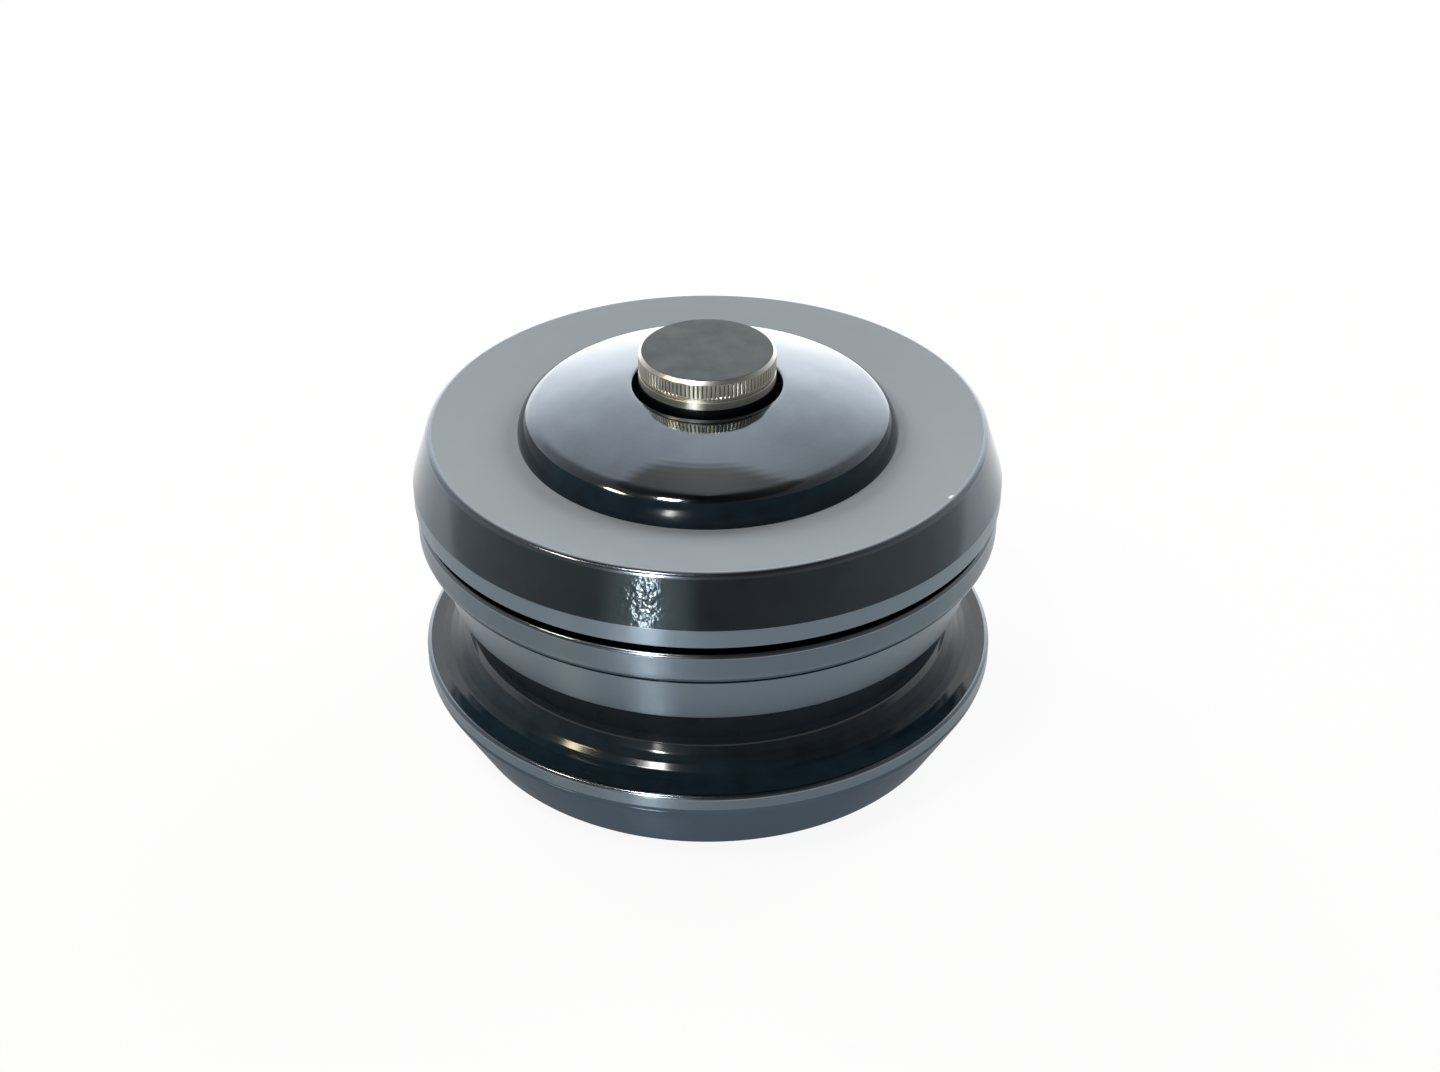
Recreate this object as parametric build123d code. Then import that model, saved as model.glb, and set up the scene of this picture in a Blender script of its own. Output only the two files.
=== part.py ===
from build123d import *
import math
import os

# Threadless bicycle headset, 1-1/8 inch steerer, all sizes in millimetres.
# The origin is on the steering axis at the crown race's bottom face, +Z up.

# Steerer tube and fork crown that the headset fits
steerer_r = 28.6 / 2
steerer_wall = 1.6
crown_seat_step = 0.7           # crown seat is 30.0 across
cup_bore_clear = 0.9            # steerer to the cups' bores

# Cartridge bearings, 41 x 30.15 x 6.5 with 45 degree seats
bearing_bore_clear = 0.775
bearing_section = 5.425         # radial thickness
bearing_h = 6.5
ball_r = 3.175 / 2
ball_count = 20
ball_clear = 0.12               # groove and pocket radius over the ball's
race_gap = 1.7                  # radial gap between the two races' shoulders
inner_seat_w = 1.6              # 45 degree seat on the inner race
outer_seat_w = 1.3              # 45 degree seat on the outer race
seat_clear = 0.05
seal_t = 0.6
seal_set_in = 0.2
seal_bite = 0.45                # seal's depth in the outer race's groove
seal_lip_clear = 0.15
cage_w = 1.1
cage_floor = 2.1                # cage below the ball centres
cage_rise = 0.6                 # cage above the ball centres

# Crown race and its wiper
crown_flange_h = 1.5
crown_bearing_gap = 0.7
crown_cone_h = 1.0
crown_flange_r_over = 0.8       # flange past the bearing's outside
crown_bore_chamfer = 0.3
crown_seal_h = 0.7
crown_seal_z = 0.45
crown_seal_bite = 0.6
crown_seal_lip = 0.6

# Lower cup
foot_gap = 0.4                  # cup's foot above the crown race's bottom
foot_wall = 1.0
foot_pocket_clear = 0.2         # wiper lip to the foot's pocket
foot_pocket_gap = 0.5           # crown flange to the pocket's roof
lower_body_h = 7.65
lower_skirt_wall = 1.45         # wall over the bearing, for a 44 mm head tube bore
lower_skirt_h = 6.5
skirt_thin_wall = 1.8           # wall of both press skirts clear of the bearings
skirt_lip_h = 1.2
root_fillet_r = 3.0
flange_land = 1.4
flange_edge_h = 0.95
flange_round_r = 1.6
edge_break = 0.2
skirt_lead_in = 0.4

# Upper cup
upper_floor_h = 1.45
upper_relief = 0.45             # floor clear of the turning inner race
upper_skirt_h = 5.0             # for a 34 mm head tube bore
upper_foot_wall = 2.7
upper_taper_h = 4.8
upper_rim_wall = 5.75
upper_rim_set_in = 1.1          # rim's overhang past the taper
upper_rim_round_r = 0.9
shadow_step = 0.25              # step between the rim's round and the taper
cup_lip_h = 0.25                # cup's top above the bearing
wiper_pocket_w = 3.05
wiper_pocket_h = 1.6

# Compression ring
ring_fit = 0.05
ring_top_h = 2.6                # above the bearing
ring_flange_w = 3.9
ring_flange_clear = 0.4
ring_cone_h = 1.8
ring_slit = 2.0

# Bearing cover
cover_gap = 0.9                 # running gap to the upper cup
cover_overhang = 0.2
cover_rim_h = 1.7
cover_chamfer_h = 4.6
cover_chamfer_w = 1.5
cover_edge_r = 0.5
cover_dish = 0.9                # annulus falls to the cap's seat
cover_bore_clear = 0.2
cover_wall = 2.3
cover_hub_w = 4.4
wiper_w = 1.0
wiper_bite = 0.8
wiper_reach = 0.7               # wiper below the cover's rim plane
wiper_wall_clear = 0.2
o_ring_section_r = 0.7
o_ring_squeeze = 0.15
o_ring_rise = 2.0               # ring's centre below the cap's seat
o_ring_clear = 0.05

# Top cap and its bolt
cap_seat_w = 2.5
cap_seat_margin = 0.3
cap_crown_h = 4.7               # seat to the rim of the bolt's pocket
cap_dome_r = 46.0
cap_edge_r = 2.7
cap_boss_h = 2.0
cap_boss_clear = 0.3
cap_floor_h = 1.95
cap_hole_clear = 0.25
bolt_r = 3.0
bolt_l = 25.0
bolt_tip_chamfer = 0.6
head_r = 6.1
head_h = 6.0
head_clear = 0.9
head_bevel = 0.3
head_groove_z = 4.0             # groove above the head's underside
head_groove_h = 0.3
head_groove_d = 0.25
head_seat_gap = 0.02

# Star nut
nut_r = 4.6
nut_h = 8.5
nut_neck_r = 4.0
nut_neck_h = 1.0
nut_drop = 0.75                 # petal tips below the cap's boss
nut_thread_clear = 0.05
plate_t = 0.8
plate_flat_r = 7.2
plate_rise = 2.2
plate_bite = 0.2                # petal tips past the steerer's inside
plate_slots = 6
plate_slot_w = 3.2
plate_fit = 0.03

# Radii worked out from the steerer outwards
crown_seat_r = steerer_r + crown_seat_step
cup_bore_r = steerer_r + cup_bore_clear
bearing_ir = steerer_r + bearing_bore_clear
bearing_or = bearing_ir + bearing_section
pitch_r = (bearing_ir + bearing_or) / 2
seat_r = bearing_or + seat_clear
upper_skirt_r = cup_bore_r + skirt_thin_wall
lower_skirt_r = seat_r + lower_skirt_wall
flange_r = lower_skirt_r + root_fillet_r + flange_land
crown_flange_r = bearing_or + crown_flange_r_over
foot_pocket_r = crown_flange_r + crown_seal_lip + foot_pocket_clear
foot_r = foot_pocket_r + foot_wall
upper_foot_r = seat_r + upper_foot_wall
rim_r = seat_r + upper_rim_wall
taper_r = rim_r - upper_rim_set_in
wiper_pocket_r = seat_r + wiper_pocket_w
cover_r = rim_r + cover_overhang
cover_top_r = cover_r - cover_chamfer_w
cover_bore_r = steerer_r + cover_bore_clear
wiper_r = wiper_pocket_r - wiper_wall_clear
cap_r = cover_bore_r + cap_seat_w
head_pocket_r = head_r + head_clear
steerer_ir = steerer_r - steerer_wall

# Heights worked out from the base upwards
lower_bearing_z = crown_flange_h + crown_bearing_gap
lower_bearing_top = lower_bearing_z + bearing_h
flange_z = foot_gap + lower_body_h
upper_cup_z = flange_z + lower_skirt_h
upper_bearing_z = upper_cup_z + upper_floor_h
upper_bearing_top = upper_bearing_z + bearing_h
upper_cup_top = upper_bearing_top + cup_lip_h
ring_top = upper_bearing_top + ring_top_h
cover_z = upper_cup_top + cover_gap
cover_top = cover_z + cover_rim_h + cover_chamfer_h
cap_z = cover_top - cover_dish
cap_top = cap_z + cap_crown_h
head_z = cap_z + cap_floor_h + head_seat_gap
nut_top = cap_z - cap_boss_h - nut_drop - (plate_rise + plate_t - nut_neck_h)
nut_z = nut_top - nut_h


def outline(*points):
    """Closed face in the half plane of radius and height."""
    return make_face(Polyline(*points, close=True))


def rounded(face, point, radius):
    """Round the corner of an outline that lies nearest to a point."""
    corner = face.vertices().sort_by_distance((*point, 0))[0]
    return fillet(corner, radius)


def turned(face):
    """Turn an outline about the steering axis."""
    return revolve(Plane.XZ * face, axis=Axis.Z)


def section(r_in, r_out, z_low, z_high):
    """Rectangular outline between two radii and two heights."""
    return outline((r_in, z_low), (r_out, z_low), (r_out, z_high), (r_in, z_high))


def groove_disc(middle_z):
    """Round section of the ball groove."""
    return Pos(pitch_r, middle_z) * Circle(ball_r + ball_clear)


def flipped(shape, upside_down, middle_z):
    """Turn a bearing piece over about its own middle height."""
    if not upside_down:
        return shape
    return Pos(0, 0, middle_z) * Rot(180, 0, 0) * Pos(0, 0, -middle_z) * shape


def bearing(z_low, upside_down):
    """Angular contact cartridge: the outer seat faces down, the inner one up."""
    z_high = z_low + bearing_h
    middle = z_low + bearing_h / 2
    inner_shoulder = pitch_r - race_gap / 2
    outer_shoulder = pitch_r + race_gap / 2

    outer = outline(
        (outer_shoulder, z_low),
        (bearing_or - outer_seat_w, z_low),
        (bearing_or, z_low + outer_seat_w),
        (bearing_or, z_high),
        (outer_shoulder, z_high),
    )
    inner = outline(
        (bearing_ir, z_low),
        (inner_shoulder, z_low),
        (inner_shoulder, z_high),
        (bearing_ir + inner_seat_w, z_high),
        (bearing_ir, z_high - inner_seat_w),
    )
    outer -= groove_disc(middle)
    inner -= groove_disc(middle)

    seals = []
    for seal_z in (z_low + seal_set_in, z_high - seal_set_in - seal_t):
        outer -= section(
            outer_shoulder - seal_bite,
            outer_shoulder + seal_bite,
            seal_z - seat_clear,
            seal_z + seal_t + seat_clear,
        )
        seals.append(
            turned(
                section(
                    inner_shoulder + seal_lip_clear,
                    outer_shoulder + seal_bite - seat_clear,
                    seal_z,
                    seal_z + seal_t,
                )
            )
        )

    places = PolarLocations(pitch_r, ball_count)
    balls = [Pos(0, 0, middle) * place * Sphere(ball_r) for place in places]
    pockets = [Pos(0, 0, middle) * place * Sphere(ball_r + ball_clear) for place in places]
    cage = turned(
        section(pitch_r - cage_w / 2, pitch_r + cage_w / 2, middle - cage_floor, middle + cage_rise)
    )
    cage -= pockets

    pieces = {
        "outer_race": turned(outer),
        "inner_race": turned(inner),
        "balls": Compound(balls),
        "ball_cage": cage,
        "bottom_seal": seals[0],
        "top_seal": seals[1],
    }
    if upside_down:
        pieces["bottom_seal"], pieces["top_seal"] = pieces["top_seal"], pieces["bottom_seal"]
    return {name: flipped(piece, upside_down, middle) for name, piece in pieces.items()}


def crown_race():
    """Conical lower race that presses onto the fork crown."""
    cone_r = bearing_ir + inner_seat_w - seat_clear
    cone_z = lower_bearing_z
    face = outline(
        (crown_seat_r + crown_bore_chamfer, 0),
        (crown_flange_r, 0),
        (crown_flange_r, crown_flange_h),
        (cone_r, crown_flange_h),
        (cone_r, cone_z),
        (cone_r - crown_cone_h, cone_z + crown_cone_h),
        (crown_seat_r, cone_z + crown_cone_h),
        (crown_seat_r, crown_bore_chamfer),
    )
    face -= section(
        crown_flange_r - crown_seal_bite,
        crown_flange_r + crown_seal_bite,
        crown_seal_z,
        crown_seal_z + crown_seal_h,
    )
    return turned(face)


def crown_race_seal():
    """Rubber wiper in the edge of the crown race, leaning up to the cup."""
    root = crown_flange_r - crown_seal_bite + seat_clear
    lip = crown_flange_r + crown_seal_lip
    low = crown_seal_z + seat_clear
    high = crown_seal_z + crown_seal_h - seat_clear
    middle = (low + high) / 2
    return turned(outline((root, low), (crown_flange_r, low), (lip, middle), (lip, high), (root, high)))


def lower_cup():
    """Lower cup: tapered body, wide flange and the press skirt above it."""
    pocket_z = crown_flange_h + foot_pocket_gap
    lip_r = bearing_or - outer_seat_w - seat_clear
    lip_z = lower_bearing_top + seat_clear
    thin_r = lower_skirt_r - skirt_thin_wall
    edge_z = flange_z - flange_edge_h
    taper_z = edge_z - flange_round_r / 2
    face = outline(
        (foot_r, foot_gap),
        (flange_r, taper_z),
        (flange_r, flange_z),
        (lower_skirt_r, flange_z),
        (lower_skirt_r, upper_cup_z - skirt_lead_in),
        (lower_skirt_r - skirt_lead_in, upper_cup_z),
        (thin_r, upper_cup_z),
        (thin_r, lip_z + skirt_lip_h),
        (lip_r, lip_z + skirt_lip_h),
        (lip_r, lip_z),
        (seat_r, lip_z - (seat_r - lip_r)),
        (seat_r, pocket_z),
        (foot_pocket_r, pocket_z),
        (foot_pocket_r, foot_gap),
    )
    face = rounded(face, (lower_skirt_r, flange_z), root_fillet_r)
    face = rounded(face, (flange_r, flange_z), edge_break)
    face = rounded(face, (flange_r, taper_z), flange_round_r)
    return turned(face)


def upper_cup():
    """Upper cup: tapered body with an overhanging rim and a press skirt below it."""
    lip_r = bearing_or - outer_seat_w - seat_clear
    floor_z = upper_bearing_z - upper_relief
    taper_top = upper_cup_z + upper_taper_h
    step_r = taper_r + shadow_step
    pocket_z = upper_cup_top - wiper_pocket_h
    skirt_z = upper_cup_z - upper_skirt_h
    face = outline(
        (cup_bore_r, skirt_z),
        (upper_skirt_r - skirt_lead_in, skirt_z),
        (upper_skirt_r, skirt_z + skirt_lead_in),
        (upper_skirt_r, upper_cup_z),
        (upper_foot_r, upper_cup_z),
        (taper_r, taper_top),
        (step_r, taper_top),
        (rim_r, taper_top + shadow_step),
        (rim_r, upper_cup_top),
        (wiper_pocket_r, upper_cup_top),
        (wiper_pocket_r, pocket_z),
        (seat_r, pocket_z),
        (seat_r, upper_bearing_z - seat_clear + (seat_r - lip_r)),
        (lip_r, upper_bearing_z - seat_clear),
        (lip_r, floor_z),
        (cup_bore_r, floor_z),
    )
    face = rounded(face, (rim_r, taper_top + shadow_step), upper_rim_round_r)
    face = rounded(face, (rim_r, upper_cup_top), edge_break)
    return turned(face)


def compression_ring():
    """Split cone that centres the steerer in the upper bearing."""
    bore = steerer_r + ring_fit
    cone_r = bearing_ir + inner_seat_w - seat_clear
    cone_low = upper_bearing_top - ring_cone_h
    flange_low = upper_bearing_top + ring_flange_clear
    face = outline(
        (bore, cone_low),
        (bearing_ir - seat_clear, cone_low),
        (bearing_ir - seat_clear, upper_bearing_top - inner_seat_w),
        (cone_r, upper_bearing_top),
        (cone_r, flange_low),
        (bore + ring_flange_w, flange_low),
        (bore + ring_flange_w, ring_top),
        (bore, ring_top),
    )
    slit = Pos(0, -pitch_r, ring_top) * Box(ring_slit, 2 * pitch_r, 4 * ring_top_h + 2 * ring_cone_h)
    return turned(face) - slit


def bearing_cover():
    """Wide cover: dished top, long outer chamfer, hub on the compression ring."""
    rim_top = cover_z + cover_rim_h
    hub_r = cover_bore_r + cover_hub_w
    roof_z = cap_z - cover_wall
    groove_in = wiper_r - wiper_w
    groove_top = cover_z + wiper_bite
    o_ring_z = cap_z - o_ring_rise
    o_ring_half = o_ring_section_r + o_ring_clear
    o_ring_out = steerer_r - o_ring_squeeze + 2 * o_ring_section_r + o_ring_clear
    face = outline(
        (cover_r, cover_z),
        (cover_r, rim_top),
        (cover_top_r, cover_top),
        (cap_r + cap_seat_margin, cap_z),
        (cover_bore_r, cap_z),
        (cover_bore_r, ring_top),
        (hub_r, ring_top),
        (hub_r + (roof_z - ring_top) / 2, roof_z),
        (groove_in - cover_wall / 2, roof_z),
        (groove_in - cover_wall / 2, cover_z),
    )
    face = rounded(face, (cover_top_r, cover_top), cover_edge_r)
    face -= section(groove_in, wiper_r, cover_z - wiper_bite, groove_top)
    face -= section(cover_bore_r - o_ring_section_r, o_ring_out, o_ring_z - o_ring_half, o_ring_z + o_ring_half)
    return turned(face)


def cover_wiper():
    """Rubber ring in the cover's underside that reaches into the cup's pocket."""
    root_top = cover_z + wiper_bite - seat_clear
    reach_z = cover_z - cover_gap - wiper_reach
    left = wiper_r - wiper_w + seat_clear
    right = wiper_r - seat_clear
    lip = (left + right) / 2
    face = outline(
        (left, root_top),
        (left, cover_z),
        (lip, reach_z),
        (right, reach_z),
        (right, root_top),
    )
    return turned(face)


def cover_o_ring():
    """Rubber ring in the cover's bore that seals against the steerer."""
    centre_r = steerer_r - o_ring_squeeze + o_ring_section_r
    return turned(Pos(centre_r, cap_z - o_ring_rise) * Circle(o_ring_section_r))


def top_cap():
    """Domed cap with a pocket for the bolt head and a boss inside the steerer."""
    hole_r = bolt_r + cap_hole_clear
    boss_r = steerer_ir - cap_boss_clear
    pocket_z = cap_z + cap_floor_h
    dome_drop = math.sqrt(cap_dome_r**2 - head_pocket_r**2) - math.sqrt(cap_dome_r**2 - cap_r**2)
    edge = (cap_r, cap_top - dome_drop)
    pocket_rim = (head_pocket_r, cap_top)
    sides = Polyline(
        pocket_rim,
        (head_pocket_r, pocket_z),
        (hole_r, pocket_z),
        (hole_r, cap_z - cap_boss_h),
        (boss_r, cap_z - cap_boss_h),
        (boss_r, cap_z),
        (cap_r, cap_z),
        edge,
    )
    middle_r = (head_pocket_r + cap_r) / 2
    middle_z = cap_top + math.sqrt(cap_dome_r**2 - middle_r**2) - math.sqrt(cap_dome_r**2 - head_pocket_r**2)
    dome = ThreePointArc(edge, (middle_r, middle_z), pocket_rim)
    face = make_face([*sides.edges(), *dome.edges()])
    face = rounded(face, edge, cap_edge_r)
    face = rounded(face, pocket_rim, edge_break)
    return turned(face)


def top_cap_bolt():
    """Bolt with a tall round head: bevelled top edge and a groove over the lower ring."""
    head_top = head_z + head_h
    tip_z = head_z - bolt_l
    face = outline(
        (0, tip_z),
        (bolt_r - bolt_tip_chamfer, tip_z),
        (bolt_r, tip_z + bolt_tip_chamfer),
        (bolt_r, head_z),
        (head_r, head_z),
        (head_r, head_top - head_bevel),
        (head_r - head_bevel, head_top),
        (0, head_top),
    )
    groove_z = head_z + head_groove_z
    face -= section(head_r - head_groove_d, head_r + head_groove_d, groove_z, groove_z + head_groove_h)
    return turned(face)


def star_nut_hub():
    """Threaded hub with a turned-down neck at each end for the plates."""
    bore = bolt_r + nut_thread_clear
    return turned(
        outline(
            (bore, nut_z),
            (nut_neck_r, nut_z),
            (nut_neck_r, nut_z + nut_neck_h),
            (nut_r, nut_z + nut_neck_h),
            (nut_r, nut_top - nut_neck_h),
            (nut_neck_r, nut_top - nut_neck_h),
            (nut_neck_r, nut_top),
            (bore, nut_top),
        )
    )


def star_plate(z_low):
    """Spring steel star: flat middle and petals that lean up to grip the steerer."""
    tip_r = steerer_ir + plate_bite
    hole_r = nut_neck_r + plate_fit
    plate = turned(
        outline(
            (hole_r, z_low),
            (plate_flat_r, z_low),
            (tip_r, z_low + plate_rise),
            (tip_r, z_low + plate_rise + plate_t),
            (plate_flat_r, z_low + plate_t),
            (hole_r, z_low + plate_t),
        )
    )
    slot_l = 2 * tip_r
    slot = Pos(plate_flat_r + slot_l / 2, 0, z_low) * Box(slot_l, plate_slot_w, 4 * (plate_rise + plate_t))
    root = Pos(plate_flat_r, 0, z_low) * Cylinder(plate_slot_w / 2, 4 * (plate_rise + plate_t))
    cuts = [Rot(0, 0, i * 360 / plate_slots) * cut for i in range(plate_slots) for cut in (slot, root)]
    return plate - cuts


parts = {
    "crown_race": crown_race(),
    "crown_race_seal": crown_race_seal(),
    "lower_cup": lower_cup(),
    "upper_cup": upper_cup(),
    "compression_ring": compression_ring(),
    "bearing_cover": bearing_cover(),
    "cover_wiper": cover_wiper(),
    "cover_o_ring": cover_o_ring(),
    "top_cap": top_cap(),
    "top_cap_bolt": top_cap_bolt(),
    "star_nut_hub": star_nut_hub(),
    "star_nut_upper_plate": star_plate(nut_top - nut_neck_h),
    "star_nut_lower_plate": star_plate(nut_z + nut_neck_h - plate_t),
}
for side, z_low, upside_down in (("lower", lower_bearing_z, True), ("upper", upper_bearing_z, False)):
    for name, piece in bearing(z_low, upside_down).items():
        parts[f"{side}_{name}"] = piece

os.makedirs("parts", exist_ok=True)
for name, piece in parts.items():
    export_step(piece, f"parts/{name}.step")
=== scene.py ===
# %% [markdown]
# # Dressing a bicycle headset
# A headset holds the fork of a bicycle in its frame and lets it steer. This one stands on a white
# table, stacked as it would be in the bike: a steel bolt, a domed cap, a wide cover, an upper cup
# and a lower cup, with two cartridge bearings inside. All that shows, but for the bolt, is black
# anodised aluminium. The solids come from CAD. They could be dressed as they are, but a mirror
# finish would show their facets, so each piece that shows is turned again as a clean mesh, and
# every surface gets its own finish.

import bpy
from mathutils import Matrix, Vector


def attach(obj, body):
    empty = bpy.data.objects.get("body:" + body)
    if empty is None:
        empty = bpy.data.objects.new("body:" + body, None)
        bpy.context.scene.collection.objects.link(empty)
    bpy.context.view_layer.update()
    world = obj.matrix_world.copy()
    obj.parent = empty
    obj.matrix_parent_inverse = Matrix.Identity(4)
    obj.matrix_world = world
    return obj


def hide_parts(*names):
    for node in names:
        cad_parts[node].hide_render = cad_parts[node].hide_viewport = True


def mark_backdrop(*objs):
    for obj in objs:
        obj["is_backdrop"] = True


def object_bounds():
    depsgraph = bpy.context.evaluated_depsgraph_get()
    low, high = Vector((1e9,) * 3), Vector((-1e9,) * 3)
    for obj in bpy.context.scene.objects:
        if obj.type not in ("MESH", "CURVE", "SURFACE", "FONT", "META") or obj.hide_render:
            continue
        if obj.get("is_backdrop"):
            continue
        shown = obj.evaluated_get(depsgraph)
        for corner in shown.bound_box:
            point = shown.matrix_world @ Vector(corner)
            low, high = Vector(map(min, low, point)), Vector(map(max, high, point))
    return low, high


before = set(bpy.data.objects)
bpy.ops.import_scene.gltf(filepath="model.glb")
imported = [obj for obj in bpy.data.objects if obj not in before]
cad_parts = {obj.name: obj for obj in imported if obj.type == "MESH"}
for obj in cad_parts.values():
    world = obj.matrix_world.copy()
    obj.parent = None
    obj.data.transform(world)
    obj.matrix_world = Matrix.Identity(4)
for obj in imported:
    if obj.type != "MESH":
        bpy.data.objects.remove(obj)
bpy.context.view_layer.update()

# %% [markdown]
# ## The camera
# The view could be matched by eye, but circles say more: seen at an angle each one is an ellipse,
# and its shape and place give the camera. It stands about 21 cm from the headset and looks down at
# 33 degrees, with a lens of 57 mm on a sensor 36 mm wide. The camera comes first, because it
# decides which details are worth making.

# %% Place the camera
import math
import bmesh
import bpy
from mathutils import Vector

MM = 0.001
CAMERA_PLACE = Vector((1.12, -178.57, 131.85)) * MM
CAMERA_TILT = math.radians(57.38)
scene = bpy.context.scene
scene.view_settings.view_transform = "Standard"
camera_data = bpy.data.cameras.new("camera")
camera_data.sensor_width = 36
camera_data.lens = 57.4
camera_data.clip_start = 0.01
camera = bpy.data.objects.new("camera", camera_data)
camera.location = CAMERA_PLACE
camera.rotation_euler = (CAMERA_TILT, 0, 0)
scene.collection.objects.link(camera)
scene.camera = camera
print("the camera is", round(CAMERA_PLACE.length / MM), "mm from the middle of the base")

# %% [markdown]
# ## A small kit for building finishes
# A finish in Blender is a graph of nodes. It could be wired by hand in the shader editor, or node
# by node in code, which is long to read. These helpers add a node, set its values and plug its
# wires in one line, so that each finish below reads as a list of what the metal shows.

# %% Add and wire nodes
def plug(finish, node, key, value):
    """Sets an input, or wires a socket to it. A key such as i1 is the input of that number."""
    numbered = key[0] == "i" and key[1:].isdigit()
    name = int(key[1:]) if numbered else key
    if isinstance(value, bpy.types.NodeSocket):
        finish.node_tree.links.new(value, node.inputs[name])
    else:
        node.inputs[name].default_value = value


def node_in(finish, kind, settings=None, **wires):
    """Adds a node. Settings are its menus, wires are values or sockets for its inputs."""
    node = finish.node_tree.nodes.new("ShaderNode" + kind)
    for key, value in (settings or {}).items():
        setattr(node, key, value)
    for key, value in wires.items():
        plug(finish, node, key, value)
    return node


def sums(finish, operation, first, second, third=None, clamp=False):
    """One sum on two or three numbers or sockets."""
    menus = {"operation": operation, "use_clamp": clamp}
    node = node_in(finish, "Math", menus, i0=first, i1=second)
    if third is not None:
        plug(finish, node, "i2", third)
    return node.outputs[0]


def vectors(finish, operation, first, second=(0, 0, 0), out="Vector"):
    """One sum on vectors. It gives a vector, or a number where out is Value."""
    node = node_in(finish, "VectorMath", {"operation": operation}, i0=first, i1=second)
    return node.outputs[out]


print("the helpers for nodes are", ", ".join(f.__name__ for f in (plug, node_in, sums, vectors)))


# %% Ramps, and the start of every finish
def ramp(finish, factor, *stops):
    """A colour ramp with stops of (place, grey) or (place, colour)."""
    node = node_in(finish, "ValToRGB", i0=factor)
    knots = node.color_ramp.elements
    while len(knots) < len(stops):
        knots.new(1.0)
    for knot, (place, shade) in zip(knots, stops):
        knot.position = place
        knot.color = (*shade, 1) if isinstance(shade, tuple) else (shade, shade, shade, 1)
    return node.outputs["Color"]


def start_finish(name):
    """A new finish, its shader, and the place on the piece in millimetres."""
    finish = bpy.data.materials.new(name)
    finish.use_nodes = True
    shader = finish.node_tree.nodes["Principled BSDF"]
    place = node_in(finish, "TexCoord").outputs["Object"]
    in_mm = vectors(finish, "MULTIPLY", place, (1 / MM, 1 / MM, 1 / MM))
    return finish, shader, in_mm


print("finishes measure in steps of", MM, "m, from the piece's own place")

# %% [markdown]
# ## Coordinates of a lathe
# Every piece that shows is turned on a lathe, so the tool leaves rings. They could be stretched
# noise, but a pattern that depends only on the distance from the axis and on the height has the
# symmetry of the lathe by itself: it runs round the piece and never across it. Patches of wear are
# plain noise in space, and relief turns either of them into a small height.

# %% Rings, patches and relief
RING_DETAIL = 3.0


def lathe_place(finish, in_mm):
    """The vector (radius, height, 0) in millimetres."""
    parts = node_in(finish, "SeparateXYZ", Vector=in_mm).outputs
    flat = node_in(finish, "CombineXYZ", X=parts["X"], Y=parts["Y"]).outputs[0]
    radius = vectors(finish, "LENGTH", flat, out="Value")
    return node_in(finish, "CombineXYZ", X=radius, Y=parts["Z"]).outputs[0]


def tool_marks(finish, in_mm, per_mm):
    """Rings of a cutting tool, as a grey value about 0.5."""
    rings = lathe_place(finish, in_mm)
    noise = node_in(finish, "TexNoise", {"noise_dimensions": "2D"},
                    Vector=rings, Scale=per_mm, Detail=RING_DETAIL)
    return noise.outputs[0]


def clouds(finish, in_mm, per_mm, detail=2.0):
    """Soft patches, as a grey value about 0.5."""
    return node_in(finish, "TexNoise", Vector=in_mm, Scale=per_mm, Detail=detail).outputs[0]


def relief(finish, shader, height, depth_mm):
    """Turns a grey value into relief of the given depth."""
    bump = node_in(finish, "Bump", Height=height, Distance=depth_mm * MM, Strength=1.0)
    plug(finish, shader, "Normal", bump.outputs[0])


print("tool rings have", RING_DETAIL, "octaves of detail")

# %% [markdown]
# ## Marks of use
# Handled parts collect small marks: a nick where the dye is gone, a scuff that breaks up a
# reflection. They could be painted on a map, but each is only a soft ball at a fixed place on the
# piece, so it needs no map and stays where it is when the piece turns.

# %% Soft spots
BARE_METAL = (0.86, 0.88, 0.88, 1)
SCUFF_PER_MM, SCUFF_RISE = 1.7, 230.0
NICK_HARDNESS = 3.0


def soft_spot(finish, in_mm, place, reach):
    """Full at its place and gone at its reach along x, y and z, all in mm."""
    away = vectors(finish, "SUBTRACT", in_mm, place)
    shares = vectors(finish, "DIVIDE", away, reach)
    distance = vectors(finish, "LENGTH", shares, out="Value")
    return sums(finish, "SUBTRACT", 1.0, distance, clamp=True)


def add_scuff(finish, in_mm, scuff, height):
    """Lays rough grains over a height, strongest in the middle of the scuff."""
    noise = clouds(finish, in_mm, SCUFF_PER_MM)
    grains = sums(finish, "MULTIPLY_ADD", noise, SCUFF_RISE, -SCUFF_RISE / 2)
    return sums(finish, "MULTIPLY_ADD", grains, soft_spot(finish, in_mm, *scuff), height)


def add_nick(finish, in_mm, nick, colour):
    """Shows the bare metal through a colour where the piece was knocked."""
    bare = sums(finish, "MULTIPLY", soft_spot(finish, in_mm, *nick), NICK_HARDNESS, clamp=True)
    return node_in(finish, "MixRGB", Fac=bare, Color1=colour, Color2=BARE_METAL).outputs[0]


print("a scuff has", SCUFF_PER_MM, "grains a millimetre")

# %% [markdown]
# ## Black anodise
# Anodising grows a thin dyed layer of oxide on aluminium. It is black when it mirrors nothing and
# grey when it mirrors a bright table. A black paint under a clear coat would mirror too little, so
# this is a dark metal. Polished areas keep a clear mirror and rounded edges a softer one. The areas
# that are left as turned have fine rings, which smear a reflection across the rings and not along
# them: the shader's anisotropy does this, with a tangent that runs round the axis and is turned by
# a quarter.

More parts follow.
